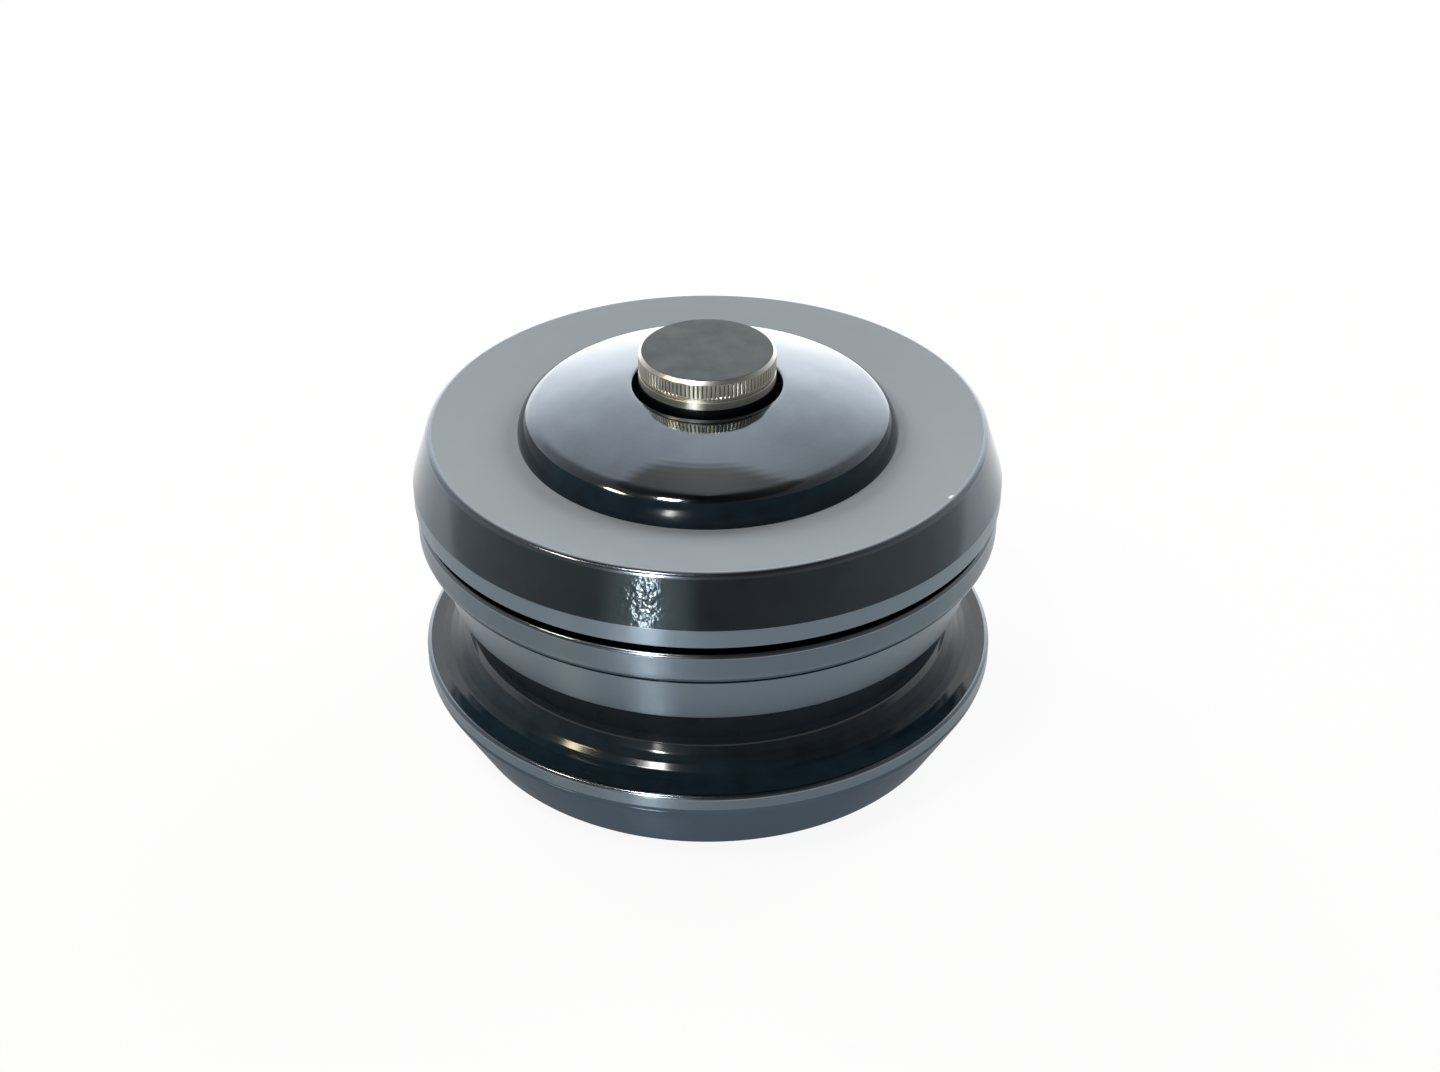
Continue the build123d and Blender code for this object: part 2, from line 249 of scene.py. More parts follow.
# %% How black anodise is made
HAZE_PER_MM, HAZE_DETAIL = 0.35, 4.0
HAZE_TINT, HAZE_SHINE, HAZE_DULL = 0.07, 0.15, 0.2
PLAIN_GLANCE = (1, 1, 1, 1)
PLAIN_GLOSS = 0.5


def times(colour, share):
    """The colour, darker or lighter by a share."""
    return tuple(share * part for part in colour)


def smear_across_rings(finish, shader, smear):
    """Blurs reflections along the axis and not round it, as fine lathe rings do."""
    plug(finish, shader, "Anisotropic", smear)
    plug(finish, shader, "Anisotropic Rotation", 0.25)
    around = node_in(finish, "Tangent", {"direction_type": "RADIAL", "axis": "Z"})
    plug(finish, shader, "Tangent", around.outputs[0])


def black_anodise(name, dye, roughness, marks_per_mm, marks_depth, metal=1.0, smear=0.0, haze=1.0,
                  gloss=PLAIN_GLOSS, glance=PLAIN_GLANCE, scuff=None, nick=None):
    """Dyed aluminium with tool rings, a haze of handling, and a scuff or a nick."""
    finish, shader, in_mm = start_finish(name)
    patches = clouds(finish, in_mm, HAZE_PER_MM, HAZE_DETAIL)
    colour = ramp(finish, patches, (0.3, times(dye, 1 - HAZE_TINT * haze)),
                  (0.7, times(dye, 1 + HAZE_TINT * haze)))
    rough = ramp(finish, patches, (0.3, roughness * (1 - HAZE_SHINE * haze)),
                 (0.75, roughness * (1 + HAZE_DULL * haze)))
    height = tool_marks(finish, in_mm, marks_per_mm)
    if scuff:
        height = add_scuff(finish, in_mm, scuff, height)
    if nick:
        colour = add_nick(finish, in_mm, nick, colour)
    plug(finish, shader, "Base Color", colour)
    plug(finish, shader, "Roughness", rough)
    plug(finish, shader, "Metallic", metal)
    plug(finish, shader, "Specular IOR Level", gloss)
    plug(finish, shader, "Specular Tint", glance)
    relief(finish, shader, height, marks_depth)
    if smear:
        smear_across_rings(finish, shader, smear)
    return finish


print("haze has patches of about", round(1 / HAZE_PER_MM, 1), "mm")

# %% [markdown]
# The dye takes better on some cuts than on others. One black for all would be quicker, but then the
# bands of the stack would run together, so each cut has its own depth of colour. The lower rounds
# and the foot are darker still, as painted shade: the shadow line under the upper rim and the
# shaded table under the foot. They are dull even at a glancing angle, where a plain metal would
# turn white, so their specular tint is held down, which is painted shade too.

# %% Mix the black finishes
POLISHED_DYE = (0.140, 0.164, 0.190)
TURNED_DYE = (0.130, 0.165, 0.194)
# The foot's and the lower rounds' darker dyes and their held-down glance are painted shade.
FOOT_SHADE_DYE = (0.062, 0.091, 0.120)
ROUND_SHADE_DYE = (0.064, 0.090, 0.114)
SHADE_GLANCE = (0.55, 0.55, 0.55, 1)
polished_black = black_anodise("polished_black", POLISHED_DYE, 0.075, 2.0, 0.0003)
soft_edge = black_anodise("soft_edge", times(POLISHED_DYE, 1.2), 0.16, 2.0, 0.0001, haze=0.5)
shaded_round = black_anodise("shaded_round", ROUND_SHADE_DYE, 0.12, 2.0, 0.0001, haze=0.5,
                           glance=SHADE_GLANCE)
shaded_foot = black_anodise("shaded_foot", FOOT_SHADE_DYE, 0.34, 6.0, 0.0015, smear=0.7, haze=0.6,
                           glance=SHADE_GLANCE)
turned_black = black_anodise("turned_black", TURNED_DYE, 0.34, 6.0, 0.0015, smear=0.85, haze=0.6)
satin_taper = black_anodise("satin_taper", times(TURNED_DYE, 1.1), 0.32, 7.0, 0.0015, smear=0.7,
                            haze=0.4)
print("mixed", ", ".join(finish.name for finish in (
    polished_black, soft_edge, shaded_round, shaded_foot, turned_black, satin_taper)))

# %% [markdown]
# The lower cup's skirt and flange are a deeper black than the rest: the dye is thick there, and
# only the top of the oxide shines. The cap's steep edge and its pocket get the same deeper black as
# painted shade, for the dark that the edge mirrors and the shade in the pocket. A darker metal
# would still turn grey over the white table, so this finish isn't a metal but a dark paint with a
# weak gloss. The skirt, which is pressed into the frame, is more matt than the flange.

# %% Mix the deep black finishes
DEPTH_PER_MM, DEPTH_DETAIL = 0.5, 5.0


def deep_black(name, dye, gloss, roughness, rings_per_mm, rings_depth):
    """A thick black dye with patches in its depth, and a weak gloss."""
    finish, shader, in_mm = start_finish(name)
    patches = clouds(finish, in_mm, DEPTH_PER_MM, DEPTH_DETAIL)
    colour = ramp(finish, patches, (0.3, times(dye, 0.8)), (0.7, times(dye, 1.2)))
    rough = ramp(finish, patches, (0.3, roughness * 0.85), (0.7, roughness * 1.2))
    plug(finish, shader, "Base Color", colour)
    plug(finish, shader, "Roughness", rough)
    plug(finish, shader, "Specular IOR Level", gloss)
    relief(finish, shader, tool_marks(finish, in_mm, rings_per_mm), rings_depth)
    return finish


skirt_black = deep_black("skirt_black", (0.009, 0.017, 0.025), 0.06, 0.30, 6.0, 0.0010)
flange_black = deep_black("flange_black", (0.010, 0.020, 0.029), 0.36, 0.10, 3.0, 0.0002)
# The cap's deep black is painted shade on its steep edge and in its pocket.
cap_shade_black = deep_black("cap_shade_black", (0.009, 0.019, 0.029), 0.16, 0.14, 3.0, 0.0003)
print("mixed", ", ".join(deep.name for deep in (skirt_black, flange_black, cap_shade_black)))

# %% [markdown]
# ## A lathe made of mesh operators
# A turned piece is half of its section, spun about the axis. The Screw modifier could spin it too,
# but here each face has to know its finish, so the mesh is made first. The section starts as one
# flat face with a few corners, and a vertex bevel rounds the corners that the real tool rounds.

# %% Draw a section
ROUND_SEGMENTS = 6


def round_corner(bm, corner, radius):
    """Rounds one corner of a flat outline, from the tangent point on each of its edges."""
    ways = [(edge.other_vert(corner).co - corner.co).normalized() for edge in corner.link_edges]
    half = ways[0].angle(ways[1]) / 2
    bmesh.ops.bevel(bm, geom=[corner], offset=radius * MM / math.tan(half), offset_type="OFFSET",
                    affect="VERTICES", segments=ROUND_SEGMENTS, profile=0.5, material=-1)


def round_corners(bm, rounds):
    """Rounds (corner, radius in mm) pairs and leaves only the outline of the face."""
    for corner, radius in rounds:
        if radius:
            round_corner(bm, corner, radius)
    bmesh.ops.delete(bm, geom=bm.faces[:], context="FACES_ONLY")


def outline_of(section):
    """A closed outline in the XZ plane from corners of (radius, height, round) in mm."""
    bm = bmesh.new()
    corners = [bm.verts.new((r * MM, 0, z * MM)) for r, z, _ in section]
    bm.faces.new(corners)
    round_corners(bm, [(corner, radius) for corner, (_, _, radius) in zip(corners, section)])
    return bm


print("each rounded corner has", ROUND_SEGMENTS, "segments")

# %% [markdown]
# Before the spin, each long edge gets a cut close to both ends, so that smooth shading stays in the
# round and the flats stay flat. A bevel on the spun mesh would do the same with many more faces.

# %% Spin a section
TURNS = 256
HUG = 0.12
LONG_EDGE = 4 * HUG
ON_AXIS, MERGE_WITHIN = 1e-7, 1e-6


def hug_corners(bm):
    """Cuts every long edge close to both of its ends."""
    for edge in [e for e in bm.edges if e.calc_length() > LONG_EDGE * MM]:
        for end in list(edge.verts):
            bmesh.utils.edge_split(edge, end, HUG * MM / edge.calc_length())


def spin_outline(bm, turns=TURNS):
    """Spins the outline into a closed piece."""
    hug_corners(bm)
    middle = [e for e in bm.edges if all(v.co.x < ON_AXIS for v in e.verts)]
    bmesh.ops.delete(bm, geom=middle, context="EDGES")
    bmesh.ops.spin(bm, geom=bm.verts[:] + bm.edges[:], cent=(0, 0, 0), axis=(0, 0, 1),
                   angle=math.tau, steps=turns, use_merge=True)
    bmesh.ops.remove_doubles(bm, verts=bm.verts[:], dist=MERGE_WITHIN)
    bmesh.ops.recalc_face_normals(bm, faces=bm.faces[:])
    return bm


print("a turn has", TURNS, "steps")

# %% [markdown]
# One section carries several finishes. The faces could be picked by hand, but on a turned piece a
# face's radius and height say which cut it belongs to, so a small function per piece names the
# area.

# %% Make a piece of the mesh
SHARP_ANGLE = 32


def finish_piece(bm, name, finishes, area=None, sharp_angle=SHARP_ANGLE):
    """Makes an object. area names a face's finish from its radius and height in mm."""
    order = list(finishes)
    for face in bm.faces:
        face.smooth = True
        if area:
            middle = face.calc_center_median() / MM
            face.material_index = order.index(area(math.hypot(middle.x, middle.y), middle.z))
    mesh = bpy.data.meshes.new(name)
    bm.to_mesh(mesh)
    bm.free()
    mesh.set_sharp_from_angle(angle=math.radians(sharp_angle))
    for finish in finishes.values():
        mesh.materials.append(finish)
    piece = bpy.data.objects.new(name, mesh)
    scene.collection.objects.link(piece)
    print(name, "has", len(mesh.polygons), "faces")
    return piece


def stand_for(piece, node, body):
    """The piece takes the place of its solid and moves with it."""
    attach(piece, body)
    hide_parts(node)


print("edges sharper than", SHARP_ANGLE, "degrees stay sharp")

# %% [markdown]
# ## The lower cup
# The lower cup carries the lower bearing. Its skirt, which is pressed into the frame, is the dark
# neck of the stack. It runs in a wide fillet into a polished flange, and under the flange the foot
# tapers to the table. Cylinders and cones could be joined to this shape, but then the fillet would
# have to be fitted between them. In one section it is only a rounded corner.

# %% Turn the lower cup
LOWER_CUP = [
    (23.1, 0.4, 0.15), (26.4, 6.3, 1.6), (26.4, 8.05, 0.4), (22.0, 8.05, 3.0), (22.0, 14.15, 0.1),
    (21.6, 14.55, 0.1), (20.2, 14.55, 0), (20.2, 9.95, 0), (19.15, 9.95, 0), (19.15, 8.75, 0),
    (20.55, 7.35, 0), (20.55, 2.0, 0), (22.1, 2.0, 0), (22.1, 0.4, 0.1)]
# The round and the foot get finishes that are painted shade.
LOWER_CUP_FINISHES = {
    "inside": polished_black, "rim": turned_black, "flange": flange_black, "skirt": skirt_black,
    "edge": soft_edge, "round": shaded_round, "foot": shaded_foot}
EDGE_RADIUS, EDGE_LOW = 25.98, 7.62
SKIRT_RADIUS, FLANGE_LOW, SKIRT_LOW = 21.5, 7.9, 10.5
FOOT_RADIUS, ROUND_LOW, RIM_LOW = 22.6, 5.9, 6.72


def lower_cup_area(radius, height):
    """The area of the lower cup that a face is in."""
    if radius > EDGE_RADIUS and height > EDGE_LOW:
        return "edge"
    if radius > SKIRT_RADIUS and height > FLANGE_LOW:
        return "skirt" if height > SKIRT_LOW else "flange"
    if radius < FOOT_RADIUS:
        return "inside"
    return "rim" if height > RIM_LOW else "round" if height > ROUND_LOW else "foot"


bm = spin_outline(outline_of(LOWER_CUP))
lower_cup = finish_piece(bm, "dressed_lower_cup", LOWER_CUP_FINISHES, lower_cup_area)
stand_for(lower_cup, "lower_cup", "cups")

# %% [markdown]
# ## The upper cup
# The upper cup stands on the lower one. Its rim overhangs a body that tapers in, and the rim's
# lower edge is a dark round, which reads as a thin shadow line. The line could be painted on alone,
# but then it would not catch the light, so it is a real overhang in the section; the round's darker
# dye adds painted shade to it.

# %% Turn the upper cup
UPPER_CUP = [
    (15.2, 9.55, 0), (16.6, 9.55, 0), (17.0, 9.95, 0), (17.0, 14.55, 0), (23.8, 14.55, 0.12),
    (25.2, 19.3, 0.04), (26.3, 19.55, 1.35), (26.3, 22.75, 0.4), (23.6, 22.75, 0),
    (23.6, 21.15, 0), (20.55, 21.15, 0), (20.55, 17.35, 0), (19.15, 15.95, 0), (19.15, 15.55, 0),
    (15.2, 15.55, 0)]
UPPER_CUP_FINISHES = {
    "inside": polished_black, "rim": turned_black, "taper": satin_taper, "edge": soft_edge,
    "round": shaded_round}
TAPER_RADIUS, TAPER_HIGH = 23.0, 19.29
TOP_EDGE_RADIUS, TOP_EDGE_LOW = 25.88, 22.32
OVERHANG_RADIUS, OVERHANG_HIGH, RIM_RADIUS = 25.3, 20.4, 26.1


def upper_cup_area(radius, height):
    """The area of the upper cup that a face is in."""
    if radius > TAPER_RADIUS and height < TAPER_HIGH:
        return "taper"
    if radius > TOP_EDGE_RADIUS and height > TOP_EDGE_LOW:
        return "edge"
    if radius > OVERHANG_RADIUS and height < OVERHANG_HIGH:
        return "round"
    return "rim" if radius > RIM_RADIUS else "inside"


bm = spin_outline(outline_of(UPPER_CUP))
upper_cup = finish_piece(bm, "dressed_upper_cup", UPPER_CUP_FINISHES, upper_cup_area)
stand_for(upper_cup, "upper_cup", "cups")

# %% [markdown]
# ## The bearing cover
# The cover keeps dirt out of the upper bearing. Its top face is slightly dished and blasted to a
# pale satin oxide. As a rough metal it would turn dark wherever the cap hides the room, but the
# real face scatters light as a matt paint does, so it is no metal here. The long chamfer round it
# is polished, with a scuff that breaks the window's streak into sparks, and a narrow rim below the
# chamfer is left as turned.

# %% Mix the cover's finishes
CHAMFER_DYE = (0.110, 0.136, 0.158)
FACE_DYE = (0.272, 0.306, 0.334)
CHAMFER_SCUFF = ((-5.2, -25.4, 27.6), (2.6, 2.0, 3.2))
FACE_NICK = ((20.9, -13.2, 29.7), (0.55, 0.45, 0.6))
chamfer_black = black_anodise("chamfer_black", CHAMFER_DYE, 0.10, 2.0, 0.0004,
                              scuff=CHAMFER_SCUFF)
satin_face = black_anodise("satin_face", FACE_DYE, 0.50, 7.0, 0.0012, metal=0.0, haze=0.2,
                           gloss=0.1, nick=FACE_NICK)
rim_black = black_anodise("rim_black", times(TURNED_DYE, 1.3), 0.34, 6.0, 0.0015, smear=0.85,
                          haze=0.6)
print("mixed", ", ".join(finish.name for finish in (chamfer_black, satin_face, rim_black)))

# %% Turn the cover
COVER = [
    (26.5, 23.65, 0.1), (26.5, 25.35, 0.12), (25.0, 29.95, 0.5), (17.3, 29.05, 0), (14.5, 29.05, 0),
    (14.5, 27.8, 0), (15.6, 27.8, 0), (15.6, 26.3, 0), (14.5, 26.3, 0),
    (14.5, 25.1, 0), (18.9, 25.1, 0), (19.725, 26.75, 0), (21.25, 26.75, 0), (21.25, 23.65, 0),
    (22.4, 23.65, 0), (22.4, 24.45, 0), (23.4, 24.45, 0), (23.4, 23.65, 0)]
COVER_FINISHES = {
    "chamfer": chamfer_black, "rim": rim_black, "face": satin_face, "edge": soft_edge}
FACE_RADIUS, FACE_LOW = 24.62, 28.9
SOFT_RADIUS, SOFT_LOW = 25.35, 29.35
COVER_RIM_RADIUS, COVER_RIM_HIGH = 26.4, 25.4


def cover_area(radius, height):
    """The area of the cover that a face is in. The inside is finished as the chamfer is."""
    if radius < FACE_RADIUS and height > FACE_LOW:
        return "face"
    if radius < SOFT_RADIUS and height > SOFT_LOW:
        return "edge"
    return "rim" if radius > COVER_RIM_RADIUS and height < COVER_RIM_HIGH else "chamfer"


bm = spin_outline(outline_of(COVER))
cover = finish_piece(bm, "dressed_cover", COVER_FINISHES, cover_area)
stand_for(cover, "bearing_cover", "upper_turning_set")

# %% [markdown]
# ## The top cap
# The cap closes the steerer tube. Its dome is part of a large ball and runs into a soft edge. A
# ball could be cut to this shape, but its poles and rings would lie across the edge. Here both are
# arcs, and an arc is one point spun about its centre: the edge's point starts on the cap's wall,
# and where it ends the dome's arc goes on, so that the two meet without a kink. The pocket in the
# middle takes the bolt's head.

# %% Draw the cap's section
CAP_RADIUS, CAP_SEAT, CAP_EDGE_ROUND = 17.0, 29.05, 2.7
DOME_RADIUS, DOME_TOP, ARC_STEPS = 46.0, 34.286, 14
POCKET_RADIUS, POCKET_FLOOR, POCKET_ROUND = 6.65, 31.0, 0.2
CAP_INSIDE = [
    (POCKET_RADIUS, POCKET_FLOOR, 0), (3.25, POCKET_FLOOR, 0), (3.25, 27.05, 0),
    (12.4, 27.05, 0.3), (12.4, CAP_SEAT, 0), (CAP_RADIUS, CAP_SEAT, 0)]


def draw_arc(bm, start, centre_r, centre_z, angle):
    """Spins one point about a centre in the outline's plane. Returns the arc's last point."""
    made = bmesh.ops.spin(bm, geom=[start], cent=(centre_r * MM, 0, centre_z * MM), axis=(0, 1, 0),
                          angle=angle, steps=ARC_STEPS)
    return [item for item in made["geom_last"] if isinstance(item, bmesh.types.BMVert)][0]


def cap_outline():
    """The cap's outline: wall, soft edge, dome, pocket and boss."""
    bm = bmesh.new()
    ball_z = DOME_TOP - DOME_RADIUS
    edge_r = CAP_RADIUS - CAP_EDGE_ROUND
    meet = math.asin(edge_r / (DOME_RADIUS - CAP_EDGE_ROUND))
    edge_z = ball_z + (DOME_RADIUS - CAP_EDGE_ROUND) * math.cos(meet)
    rim = math.asin(POCKET_RADIUS / DOME_RADIUS)
    foot = bm.verts.new((CAP_RADIUS * MM, 0, edge_z * MM))
    top_of_edge = draw_arc(bm, foot, edge_r, edge_z, meet - math.pi / 2)
    last = draw_arc(bm, top_of_edge, 0, ball_z, rim - meet)
    rounds = [(last, POCKET_ROUND)]
    for r, z, radius in CAP_INSIDE:
        point = bm.verts.new((r * MM, 0, z * MM))
        bm.edges.new((last, point))
        rounds.append((point, radius))
        last = point
    bm.edges.new((last, foot))
    bmesh.ops.contextual_create(bm, geom=bm.edges[:])
    round_corners(bm, rounds)
    print("the dome meets its edge at", round(math.degrees(meet), 1), "degrees")
    return bm


# %% Turn the cap
# The steep finish is painted shade on the cap's lower edge and in its pocket.
CAP_FINISHES = {"dome": polished_black, "steep": cap_shade_black}
STEEP_RADIUS, POCKET_MARGIN, POCKET_LOW = 16.15, 0.02, 30.9


def cap_area(radius, height):
    """Steep, a painted shade, on the lower edge and in the pocket. The inside is finished as the
    dome is.
    """
    in_pocket = radius < POCKET_RADIUS + POCKET_MARGIN and height > POCKET_LOW
    return "steep" if radius > STEEP_RADIUS or in_pocket else "dome"


bm = spin_outline(cap_outline())
cap = finish_piece(bm, "dressed_top_cap", CAP_FINISHES, cap_area)
stand_for(cap, "top_cap", "upper_turning_set")

# %% [markdown]
# ## The bolt
# The bolt is plated steel with a tall round head. A fine straight knurl runs round the head above a
# groove, for a finger grip. A bump map would look flat at the outline, so the knurl is in the mesh.
# Its finish darkens with depth into the grooves, measured as the distance from the axis: this is
# painted shade. The lower part of the head, down in the cap's pocket, is painted dark as shade too.
# The top of the head is stained dark and hardly mirrors, so it isn't a metal here.

# %% Mix the bolt's steel
HEAD_RADIUS, KNURL_DEPTH = 6.1, 0.08
STAIN_PER_MM, STAIN_DETAIL = 0.9, 5.0
STEEL_RINGS_PER_MM, STEEL_RINGS_DEPTH = 5.0, 0.002
GROOVE_SHADE_PER_MM, GROOVE_SHADE_DETAIL, GROOVE_SHADE_SPREAD = 1.2, 3.0, 0.5


def turned_steel(name, dark, light, roughness, stain_per_mm=STAIN_PER_MM, metal=1.0,
                 gloss=PLAIN_GLOSS):
    """Plated steel with stains in colour and roughness, and the rings of the lathe."""
    finish, shader, in_mm = start_finish(name)
    stains = clouds(finish, in_mm, stain_per_mm, STAIN_DETAIL)
    rough = ramp(finish, stains, (0.3, roughness * 1.1), (0.7, roughness * 0.92))
    plug(finish, shader, "Base Color", ramp(finish, stains, (0.3, dark), (0.7, light)))
    plug(finish, shader, "Roughness", rough)
    plug(finish, shader, "Metallic", metal)
    plug(finish, shader, "Specular IOR Level", gloss)
    relief(finish, shader, tool_marks(finish, in_mm, STEEL_RINGS_PER_MM), STEEL_RINGS_DEPTH)
    return finish


def knurled_steel(name, groove, ridge, roughness):
    """Steel that is bright on the ridges of the knurl and darker with depth into its grooves, a
    painted shade.
    """
    finish, shader, in_mm = start_finish(name)
    plug(finish, shader, "Metallic", 1.0)
    plug(finish, shader, "Roughness", roughness)
    radius = node_in(finish, "SeparateXYZ", Vector=lathe_place(finish, in_mm)).outputs["X"]
    # Darker with depth, with noise on where the darkening starts: painted shade in the grooves.
    rise = sums(finish, "MULTIPLY_ADD", radius, 1 / KNURL_DEPTH, 1 - HEAD_RADIUS / KNURL_DEPTH)
    noise = clouds(finish, in_mm, GROOVE_SHADE_PER_MM, GROOVE_SHADE_DETAIL)
    uneven = sums(finish, "MULTIPLY_ADD", noise, GROOVE_SHADE_SPREAD, -GROOVE_SHADE_SPREAD / 2)
    unshaded = sums(finish, "ADD", rise, uneven)
    plug(finish, shader, "Base Color", ramp(finish, unshaded, (0.15, groove), (0.60, ridge)))
    return finish


bolt_side = turned_steel("bolt_side", (0.50, 0.48, 0.40), (0.64, 0.62, 0.53), 0.32)
# The knurl's groove colour is painted shade.
bolt_knurl = knurled_steel("bolt_knurl", (0.030, 0.029, 0.020), (0.80, 0.77, 0.64), 0.34)
bolt_bevel = turned_steel("bolt_bevel", (0.56, 0.55, 0.50), (0.64, 0.63, 0.58), 0.30)
bolt_top = turned_steel("bolt_top", (0.016, 0.028, 0.032), (0.040, 0.053, 0.057), 0.34,
                        stain_per_mm=0.45, metal=0.0, gloss=0.15)
# The lower part of the head, down in the cap's pocket, is painted dark as shade.
bolt_painted_shade = turned_steel("bolt_painted_shade", (0.020, 0.024, 0.028), (0.030, 0.034, 0.038), 0.35)
print("mixed", ", ".join(steel.name for steel in (
    bolt_side, bolt_knurl, bolt_bevel, bolt_top, bolt_painted_shade)))

# %% [markdown]
# The head is spun like the other pieces, with four steps for each ridge of the knurl, and every
# fourth column of the band is pulled in. Cutting each groove by itself would take a hundred cuts.

# %% Turn the bolt's head and press its knurl
BOLT_HEAD = [
    (0, 37.02, 0), (5.8, 37.02, 0.08), (HEAD_RADIUS, 36.72, 0.08), (HEAD_RADIUS, 35.32, 0.05),
    (5.85, 35.32, 0), (5.85, 35.02, 0), (HEAD_RADIUS, 35.02, 0.05), (HEAD_RADIUS, 34.3, 0),
    (HEAD_RADIUS, 31.02, 0.1), (3.0, 31.02, 0), (3.0, 24.5, 0), (0, 24.5, 0)]
KNURLS, STEPS_PER_KNURL = 100, 4
KNURL_LOW, KNURL_HIGH = 35.4, 36.62
HEAD_STEPS = STEPS_PER_KNURL * KNURLS


def in_a_groove(point):
    """True for a point of the knurled band that stands in every fourth column."""
    in_band = KNURL_LOW * MM < point.co.z < KNURL_HIGH * MM
    outside = point.co.xy.length > (HEAD_RADIUS - KNURL_DEPTH) * MM
    column = round(math.atan2(point.co.y, point.co.x) / math.tau * HEAD_STEPS)
    return in_band and outside and column % STEPS_PER_KNURL == 0


bm = spin_outline(outline_of(BOLT_HEAD), HEAD_STEPS)
grooves = [point for point in bm.verts if in_a_groove(point)]
inward = 1 - KNURL_DEPTH / HEAD_RADIUS
bmesh.ops.scale(bm, vec=(inward, inward, 1), verts=grooves)
print("the knurl has", KNURLS, "ridges and", len(grooves), "lowered points")

# %% [markdown]
# A thread could be stacked from rings, but rings don't climb. This one is a zigzag, as long as the
# shank, that climbs by one pitch while it is spun once: after a full turn it lands on its own next
# tooth, and merging the doubles closes the helix. Two flat cuts give it clean ends, and the tip is
# tapered.

# %% Cut the thread
PITCH, THREAD_ROOT, THREAD_CREST, THREAD_STEPS = 1.0, 2.45, 2.98, 32
THREAD_LOW, THREAD_HIGH, TIP_TAPER = 6.02, 24.5, 0.8
SPARE_TURNS, CUT_WITHIN = 2, 1e-8


def wind_thread(rod):
    """Spins a zigzag into a helix that is a few turns too long at both ends."""
    teeth = int(THREAD_HIGH - THREAD_LOW) + 2 * SPARE_TURNS
    start = THREAD_LOW - SPARE_TURNS * PITCH
    last = None
    for tooth in range(2 * teeth + 1):
        reach = THREAD_CREST if tooth % 2 else THREAD_ROOT
        point = rod.verts.new((reach * MM, 0, (start + tooth * PITCH / 2) * MM))
        if last:
            rod.edges.new((last, point))
        last = point
    bmesh.ops.spin(rod, geom=rod.verts[:] + rod.edges[:], cent=(0, 0, 0), axis=(0, 0, 1),
                   dvec=(0, 0, PITCH / THREAD_STEPS * MM), angle=math.tau, steps=THREAD_STEPS)
    bmesh.ops.remove_doubles(rod, verts=rod.verts[:], dist=MERGE_WITHIN)


def trim_thread(rod):
    """Cuts both ends flat, closes them and tapers the tip."""
    for height, way in ((THREAD_LOW, -1), (THREAD_HIGH, 1)):
        everything = rod.verts[:] + rod.edges[:] + rod.faces[:]
        cut = bmesh.ops.bisect_plane(rod, geom=everything, dist=CUT_WITHIN,
                                     plane_co=(0, 0, height * MM), plane_no=(0, 0, way),
                                     clear_outer=True)["geom_cut"]
        rim = [item for item in cut if isinstance(item, bmesh.types.BMEdge)]
        bmesh.ops.edgeloop_fill(rod, edges=rim)
    for point in rod.verts:
        rise = (point.co.z / MM - THREAD_LOW) / TIP_TAPER
        if rise < 1:
            most = (THREAD_ROOT + (THREAD_CREST - THREAD_ROOT) * rise) * MM
            point.co.xy = point.co.xy * min(1, most / point.co.xy.length)
    bmesh.ops.recalc_face_normals(rod, faces=rod.faces[:])


rod = bmesh.new()
wind_thread(rod)
trim_thread(rod)
thread_mesh = bpy.data.meshes.new("thread")
rod.to_mesh(thread_mesh)
rod.free()
bm.from_mesh(thread_mesh)
print("the thread has", len(thread_mesh.polygons), "faces")
bpy.data.meshes.remove(thread_mesh)

# %% Finish the bolt
BOLT_FINISHES = {
    "side": bolt_side, "bevel": bolt_bevel, "top": bolt_top, "shade": bolt_painted_shade,
    "knurl": bolt_knurl}
BOLT_SHARP_ANGLE = 20
TOP_LOW, BEVEL_LOW, GROOVE_RADIUS = 37.0, 36.7, 5.9
# Below this height the head takes the painted shade.
SHADE_RADIUS, SHADE_HIGH = 4, 34.3


def bolt_area(radius, height):
    """The area of the bolt that a face is in. The shank is finished as the side is."""
    if height > TOP_LOW:
        return "top"
    if height > BEVEL_LOW:
        return "bevel"
    if radius > GROOVE_RADIUS and height > KNURL_LOW:
        return "knurl"
    return "shade" if radius > SHADE_RADIUS and height < SHADE_HIGH else "side"


bolt = finish_piece(bm, "dressed_bolt", BOLT_FINISHES, bolt_area, BOLT_SHARP_ANGLE)
stand_for(bolt, "top_cap_bolt", "bolt")

# %% [markdown]
# ## The inner pieces
# The bearings, seals, cages, star nut and rings are true to their parts as solids, and little of
# them shows. They could be made again too, but that would only copy them. So they keep their
# solids, and each gets the finish of its material: ground steel, moulded nylon, matt rubber, zinc
# plate or plain turned aluminium.

# %% Mix the inner finishes
PLAIN_DETAIL, GRAIN_PER_MM = 4.0, 9.0


def plain_finish(name, light, dark, metal, roughness, patch_per_mm, rings_per_mm, depth):
    """Two tones with patches in colour and roughness, and rings or grain as relief."""
    finish, shader, in_mm = start_finish(name)
    patches = clouds(finish, in_mm, patch_per_mm, PLAIN_DETAIL)
    rough = ramp(finish, patches, (0.3, roughness * 1.2), (0.7, roughness * 0.85))
    plug(finish, shader, "Base Color", ramp(finish, patches, (0.35, dark), (0.65, light)))
    plug(finish, shader, "Roughness", rough)
    plug(finish, shader, "Metallic", metal)
    if rings_per_mm:
        height = tool_marks(finish, in_mm, rings_per_mm)
    else:
        height = clouds(finish, in_mm, GRAIN_PER_MM)
    relief(finish, shader, height, depth)
    return finish


